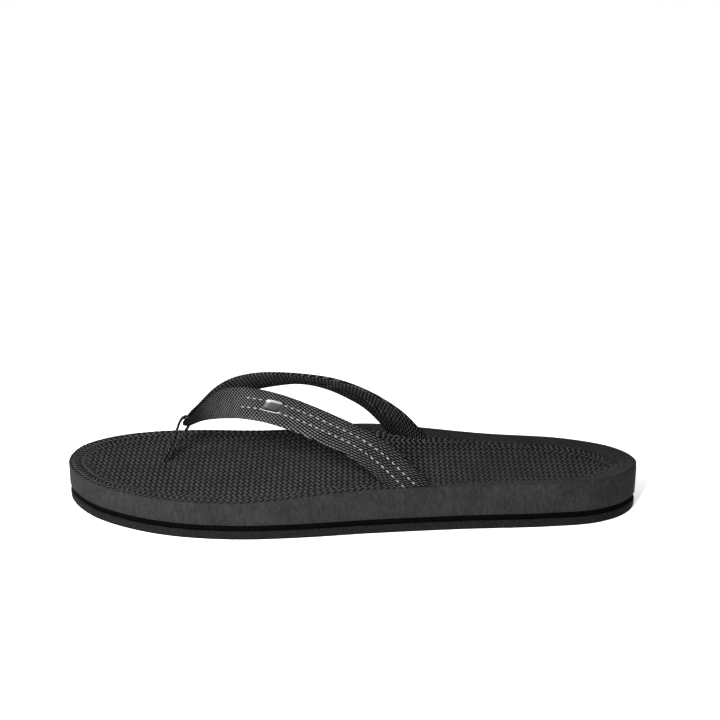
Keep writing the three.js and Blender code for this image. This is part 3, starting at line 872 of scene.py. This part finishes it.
def webbing_material(name, dark, light, pitch):
    m = Nodes(name, light, 0.85, specular=0.03)
    along, across = m.uv()
    weave = twill_nodes(m, along, across, pitch, 0.9, 0.0)
    fuzz = m.noise(m.rest(), 2600, 3, 0.7)
    value = m.math("MULTIPLY_ADD", weave, 0.75, m.math("MULTIPLY", fuzz, 0.25))
    m.color(m.ramp(value, 0.3, 0.85, dark, light))
    m.rough(fuzz, 0.75, 0.95)
    m.bump(weave, 0.0003, 0.9)
    return m.material


def cad_webbing_material(name, dark, light):
    """For a carried-over CAD node, which has no maps of its own."""
    m = Nodes(name, light, 0.88, specular=0.12)
    place = m.add("TexCoord").outputs["Object"]
    ribs = m.add("TexWave", Scale=300.0, Distortion=1.5, Detail=2.0)
    m.link(place, ribs.inputs["Vector"])
    fuzz = m.noise(place, 2600, 3, 0.7)
    value = m.math("MULTIPLY_ADD", ribs.outputs["Fac"], 0.5, m.math("MULTIPLY", fuzz, 0.5))
    m.color(m.ramp(value, 0.2, 0.8, dark, light))
    m.rough(fuzz, 0.75, 0.95)
    m.bump(value, 0.0003, 0.8)
    return m.material


def thread_material():
    m = Nodes("stitch_thread", (0.25, 0.25, 0.255), 0.6, sheen=0.2, specular=0.3)
    fine = m.noise(m.rest(), 5200, 3, 0.6)
    m.color(m.ramp(fine, 0.3, 0.7, (0.1, 0.1, 0.102), (0.2, 0.2, 0.203)))
    m.rough(fine, 0.5, 0.75)
    m.bump(fine, 0.00008, 0.5)
    return m.material


def metal_material():
    m = Nodes("badge_metal", (0.09, 0.09, 0.092), 0.36, metallic=1.0)
    brushed = m.noise(m.rest(0.12, 1, 1), 7000, 3, 0.6)
    m.color(m.ramp(brushed, 0.3, 0.7, (0.2, 0.2, 0.205), (0.34, 0.34, 0.346)))
    m.rough(brushed, 0.28, 0.45)
    m.bump(brushed, 0.00003, 0.4)
    return m.material


def paint(piece, material):
    piece.data.materials.clear()
    piece.data.materials.append(material)


# ---------- making ---------------------
foam = footbed_material()
dark_foam = midlayer_material()
rubber = rubber_material()
textile = textile_material()
tape = webbing_material("loop_webbing", (0.0005, 0.0005, 0.0005), (0.05, 0.05, 0.051), 0.0014)
core_webbing = webbing_material("core_webbing", (0.01, 0.01, 0.01), (0.04, 0.04, 0.041), 0.0016)
hidden_textile = cad_webbing_material("tail_textile", (0.012, 0.012, 0.0125), (0.09, 0.09, 0.092))
hidden_tape = cad_webbing_material("tail_webbing", (0.002, 0.002, 0.002), (0.03, 0.03, 0.031))
thread = thread_material()
metal = metal_material()


def bend_sole(piece):
    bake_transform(piece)


def bend_strap(piece):
    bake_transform(piece)


def sole_pieces():
    for build, slot, material in (
        (footbed, "footbed_foam", foam),
        (midlayer, "midlayer_foam", dark_foam),
        (outsole, "outsole_rubber", rubber),
    ):
        piece = build()
        paint(piece, material)
        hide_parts(f"{piece.name}_front", f"{piece.name}_rear")
        bend_sole(piece)


def strap_pieces():
    cover = strap_cover()
    paint(cover, textile)
    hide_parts("strap_cover")
    core = strap_core()
    paint(core, core_webbing)
    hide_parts("strap_core")
    sewing = [stitches("stitches_outer_arm", -1), stitches("stitches_inner_arm", 1)]
    for rows in sewing:
        paint(rows, thread)
    tab = badge()
    paint(tab, metal)
    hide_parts("badge")
    for piece in (cover, core, *sewing, tab):
        bend_strap(piece)


def loop_pieces():
    loop = toe_loop()
    paint(loop, tape)
    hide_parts("toe_loop")
    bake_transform(loop)


def carried_over_nodes():
    for name, material in (
        ("strap_tail_lateral", hidden_textile),
        ("strap_tail_medial", hidden_textile),
        ("toe_loop_tail", hidden_tape),
    ):
        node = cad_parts[name]
        for slot in node.material_slots:
            slot.material = material


# ---------- stage ----------
def camera():
    """A camera fitted to the photo."""
    data = bpy.data.cameras.new("camera")
    data.lens = 109.03
    data.sensor_width = 36
    eye = bpy.data.objects.new("camera", data)
    eye.location = (0.0004, -0.9479, 0.3822)
    eye.rotation_euler = (1.25152, -0.00123, -0.00355)
    bpy.context.scene.collection.objects.link(eye)
    bpy.context.scene.camera = eye


def floor():
    reach = 60.0  # each way, so that low views see no edge
    corners = [(-reach, -reach, 0), (reach, -reach, 0), (reach, reach, 0), (-reach, reach, 0)]
    mesh = bpy.data.meshes.new("floor")
    mesh.from_pydata(corners, [], [(0, 1, 2, 3)])
    plane = bpy.data.objects.new("floor", mesh)
    bpy.context.scene.collection.objects.link(plane)
    m = Nodes("floor_paper", (0.86, 0.86, 0.86), 0.9)
    paint(plane, m.material)


def area_light(name, place, target, size, power):
    data = bpy.data.lights.new(name, "AREA")
    data.shape = "SQUARE"
    data.size = size
    data.energy = power
    lamp = bpy.data.objects.new(name, data)
    lamp.location = place
    direction = Vector(target) - Vector(place)
    lamp.visible_camera = False
    lamp.rotation_mode = "QUATERNION"
    lamp.rotation_quaternion = direction.to_track_quat("-Z", "Y")
    bpy.context.scene.collection.objects.link(lamp)


def studio():
    world = bpy.data.worlds.new("studio")
    bpy.context.scene.world = world
    world.use_nodes = True
    background = world.node_tree.nodes["Background"]
    background.inputs["Color"].default_value = (1, 1, 1, 1)
    # A pale band round the horizon, dim above it so that the strap's shadows stay dark
    way = world.node_tree.nodes.new("ShaderNodeTexCoord")
    split = world.node_tree.nodes.new("ShaderNodeSeparateXYZ")
    band = world.node_tree.nodes.new("ShaderNodeMapRange")
    band.interpolation_type = "SMOOTHSTEP"
    for socket, value in (("From Min", 0.1), ("From Max", 0.28), ("To Min", 0.9), ("To Max", 0.025)):
        band.inputs[socket].default_value = value
    world.node_tree.links.new(way.outputs["Generated"], split.inputs[0])
    world.node_tree.links.new(split.outputs["Z"], band.inputs["Value"])
    world.node_tree.links.new(band.outputs["Result"], background.inputs["Strength"])
    bpy.context.scene.view_settings.view_transform = "Standard"
    for name, place, target, size, power in (
        ("key", (-0.13, -0.58, 0.38), (-0.08, 0, 0.02), 0.14, 12),
        ("high", (-0.3, -0.4, 0.6), (-0.06, 0, 0.02), 0.14, 0.8),
        ("side", (-0.55, -0.25, 0.12), (-0.12, 0, 0.02), 0.3, 4.5),
        ("back", (0.1, 0.8, 0.14), (0, 0, 0.02), 0.4, 2.5),
    ):
        area_light(name, place, target, size, power)
    # A wash for the floor alone keeps it pale without flattening the sandal's own shadows
    wash = bpy.data.objects.new("floor_wash", bpy.data.lights.new("floor_wash", "SUN"))
    wash.data.energy = 3.3
    wash.data.angle = 2.4
    bpy.context.scene.collection.objects.link(wash)
    only_floor = bpy.data.collections.new("only_floor")
    only_floor.objects.link(bpy.data.objects["floor"])
    wash.light_linking.receiver_collection = only_floor


camera()
floor()
studio()
sole_pieces()
strap_pieces()
loop_pieces()
carried_over_nodes()
